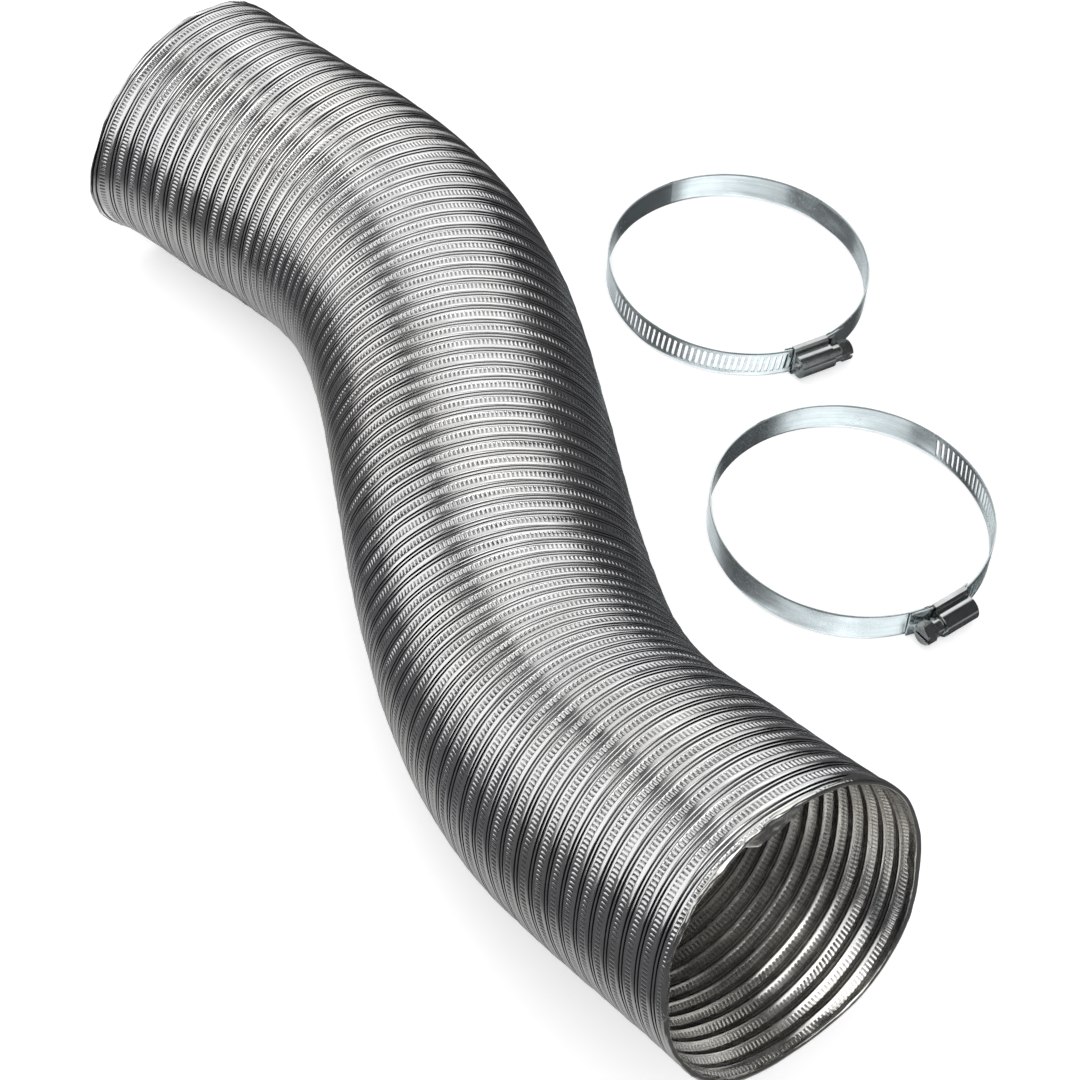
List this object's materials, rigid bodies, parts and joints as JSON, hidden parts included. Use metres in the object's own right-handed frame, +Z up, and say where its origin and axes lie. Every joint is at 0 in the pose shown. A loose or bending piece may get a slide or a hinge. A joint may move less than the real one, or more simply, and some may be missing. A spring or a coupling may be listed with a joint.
{
  "type": "flexible air duct",
  "caption": "Semi-rigid spiral-corrugated metal air duct bent in a shallow S, with slotted worm-drive band clamps lying beside it.",
  "frame": {"origin": "centre of the mouth of end A, the end that lies flat", "axes": "-Y straight out of the mouth of end A, the duct runs towards +Y, +Z up; the supporting plane is z = -0.0525"},
  "size_m": [0.3997, 0.4608, 0.1435],
  "materials": {
    "duct_foil": "bright rolled foil, crimped and corrugated",
    "clamp_band": "bright slit-edge steel strip with a faint rolled grain",
    "clamp_housing": "pressed zinc-plated steel, bright and lightly rippled",
    "clamp_screw": "zinc-plated turned and cold-headed steel"
  },
  "bodies": {
    "duct_section_01": {"duct_section_01": "duct_foil"},
    "duct_section_02": {"duct_section_02": "duct_foil", "duct_flex_01": "duct_foil"},
    "duct_section_03": {"duct_section_03": "duct_foil", "duct_flex_02": "duct_foil"},
    "duct_section_04": {"duct_section_04": "duct_foil", "duct_flex_03": "duct_foil"},
    "duct_section_05": {"duct_section_05": "duct_foil", "duct_flex_04": "duct_foil"},
    "duct_section_06": {"duct_section_06": "duct_foil", "duct_flex_05": "duct_foil"},
    "duct_section_07": {"duct_section_07": "duct_foil", "duct_flex_06": "duct_foil", "duct_flex_07": "duct_foil"},
    "duct_section_08": {"duct_section_08": "duct_foil", "duct_flex_08": "duct_foil"},
    "duct_section_09": {"duct_section_09": "duct_foil", "duct_flex_09": "duct_foil"},
    "duct_section_10": {"duct_section_10": "duct_foil", "duct_flex_10": "duct_foil"},
    "duct_section_11": {"duct_section_11": "duct_foil", "duct_flex_11": "duct_foil"},
    "duct_section_12": {"duct_section_12": "duct_foil", "duct_flex_12": "duct_foil"},
    "duct_section_13": {"duct_section_13": "duct_foil"},
    "clamp_1_base": {"clamp_1_band_fixed": "clamp_band", "clamp_1_saddle": "clamp_band", "clamp_1_housing": "clamp_housing"},
    "clamp_1_far": {"clamp_1_band_far": "clamp_band"},
    "clamp_1_tail": {"clamp_1_band_tail": "clamp_band"},
    "clamp_1_worm": {"clamp_1_screw": "clamp_screw"},
    "clamp_2_base": {"clamp_2_band_fixed": "clamp_band", "clamp_2_saddle": "clamp_band", "clamp_2_housing": "clamp_housing"},
    "clamp_2_far": {"clamp_2_band_far": "clamp_band"},
    "clamp_2_tail": {"clamp_2_band_tail": "clamp_band"},
    "clamp_2_worm": {"clamp_2_screw": "clamp_screw"}
  },
  "joints": [
    {"name": "end_a_bend_1", "type": "hinge", "parent": "duct_section_07", "child": "duct_section_06", "pos_m": [0.05695, 0.21268, 0], "axis": [0, 0, 1], "range_deg": [-15, 6], "deforming": ["duct_flex_06"]},
    {"name": "end_a_lift_1", "type": "hinge", "parent": "duct_section_06", "child": "duct_section_05", "pos_m": [0.03533, 0.1836, 0], "axis": [-0.8229, 0.5682, 0], "range_deg": [0, 11], "deforming": ["duct_flex_05"]},
    {"name": "end_a_bend_2", "type": "hinge", "parent": "duct_section_05", "child": "duct_section_04", "pos_m": [0.01623, 0.15283, 0], "axis": [0, 0, 1], "range_deg": [-15, 6], "deforming": ["duct_flex_04"]},
    {"name": "end_a_stretch", "type": "slide", "parent": "duct_section_04", "child": "duct_section_03", "axis": [-0.2468, -0.9691, 0], "range_m": [-0.007, 0.009], "deforming": ["duct_flex_03"]},
    {"name": "end_a_bend_3", "type": "hinge", "parent": "duct_section_03", "child": "duct_section_02", "pos_m": [-0.00136, 0.08336, 0], "axis": [0, 0, 1], "range_deg": [-15, 6], "deforming": ["duct_flex_02"]},
    {"name": "end_a_lift_2", "type": "hinge", "parent": "duct_section_02", "child": "duct_section_01", "pos_m": [-0.00047, 0.04712, 0], "axis": [-0.9999, -0.017, 0], "range_deg": [0, 11], "deforming": ["duct_flex_01"]},
    {"name": "end_b_bend_1", "type": "hinge", "parent": "duct_section_07", "child": "duct_section_08", "pos_m": [0.07917, 0.24132, 0], "axis": [0, 0, 1], "range_deg": [-17, 10], "deforming": ["duct_flex_07"]},
    {"name": "end_b_lift_1", "type": "hinge", "parent": "duct_section_08", "child": "duct_section_09", "pos_m": [0.10046, 0.27066, 0.00004], "axis": [0.8263, -0.5632, 0], "range_deg": [-2.5, 10], "deforming": ["duct_flex_08"]},
    {"name": "end_b_bend_2", "type": "hinge", "parent": "duct_section_09", "child": "duct_section_10", "pos_m": [0.11979, 0.30127, 0.00107], "axis": [-0.0394, -0.0697, 0.9968], "range_deg": [-17, 10], "deforming": ["duct_flex_09"]},
    {"name": "end_b_stretch", "type": "slide", "parent": "duct_section_10", "child": "duct_section_11", "axis": [0.3698, 0.9039, 0.2151], "range_m": [-0.007, 0.009], "deforming": ["duct_flex_10"]},
    {"name": "end_b_bend_3", "type": "hinge", "parent": "duct_section_11", "child": "duct_section_12", "pos_m": [0.14639, 0.3664, 0.01647], "axis": [-0.0764, -0.288, 0.9546], "range_deg": [-17, 10], "deforming": ["duct_flex_11"]},
    {"name": "end_b_lift_2", "type": "hinge", "parent": "duct_section_12", "child": "duct_section_13", "pos_m": [0.15355, 0.40004, 0.02789], "axis": [0.9819, -0.1892, 0], "range_deg": [-2.5, 10], "deforming": ["duct_flex_12"]},
    {"name": "clamp_1_lift", "type": "slide", "parent": "duct_section_07", "child": "clamp_1_base", "axis": [0, 0, 1], "range_m": [0, 0.15]},
    {"name": "clamp_1_close", "type": "hinge", "parent": "clamp_1_base", "child": "clamp_1_far", "pos_m": [-0.18339, 0.21037, -0.0453], "axis": [0, 0, 1], "range_deg": [-1.4, 6.6]},
    {"name": "clamp_1_tail_turn", "type": "hinge", "parent": "clamp_1_far", "child": "clamp_1_tail", "pos_m": [-0.07901, 0.17443, -0.0453], "axis": [0, 0, 1], "range_deg": [-1.5, 6.7]},
    {"name": "clamp_1_screw_turn", "type": "hinge", "parent": "clamp_1_base", "child": "clamp_1_worm", "pos_m": [-0.11162, 0.24927, -0.0453], "axis": [-0.9455, 0.3256, 0], "range_deg": [-1650, 350]},
    {"name": "clamp_2_lift", "type": "slide", "parent": "duct_section_07", "child": "clamp_2_base", "axis": [0, 0, 1], "range_m": [0, 0.15]},
    {"name": "clamp_2_close", "type": "hinge", "parent": "clamp_2_base", "child": "clamp_2_far", "pos_m": [0.00082, 0.30316, -0.0453], "axis": [0, 0, -1], "range_deg": [-1.4, 6.6]},
    {"name": "clamp_2_tail_turn", "type": "hinge", "parent": "clamp_2_far", "child": "clamp_2_tail", "pos_m": [-0.10762, 0.32384, -0.0453], "axis": [0, 0, -1], "range_deg": [-1.5, 6.7]},
    {"name": "clamp_2_screw_turn", "type": "hinge", "parent": "clamp_2_base", "child": "clamp_2_worm", "pos_m": [-0.04213, 0.37258, -0.0453], "axis": [0.9823, -0.1874, 0], "range_deg": [-1650, 350]}
  ],
  "couplings": [
    {"joint": "end_a_bend_2", "follows": "end_a_bend_1", "ratio": 1},
    {"joint": "end_a_bend_3", "follows": "end_a_bend_1", "ratio": 1},
    {"joint": "end_a_lift_2", "follows": "end_a_lift_1", "ratio": 1},
    {"joint": "end_b_bend_2", "follows": "end_b_bend_1", "ratio": 1},
    {"joint": "end_b_bend_3", "follows": "end_b_bend_1", "ratio": 1},
    {"joint": "end_b_lift_2", "follows": "end_b_lift_1", "ratio": 1},
    {"joint": "clamp_1_tail_turn", "follows": "clamp_1_close", "ratio": 1},
    {"joint": "clamp_1_screw_turn", "follows": "clamp_1_close", "ratio": -249.28},
    {"joint": "clamp_2_tail_turn", "follows": "clamp_2_close", "ratio": 1},
    {"joint": "clamp_2_screw_turn", "follows": "clamp_2_close", "ratio": -249.28}
  ]
}
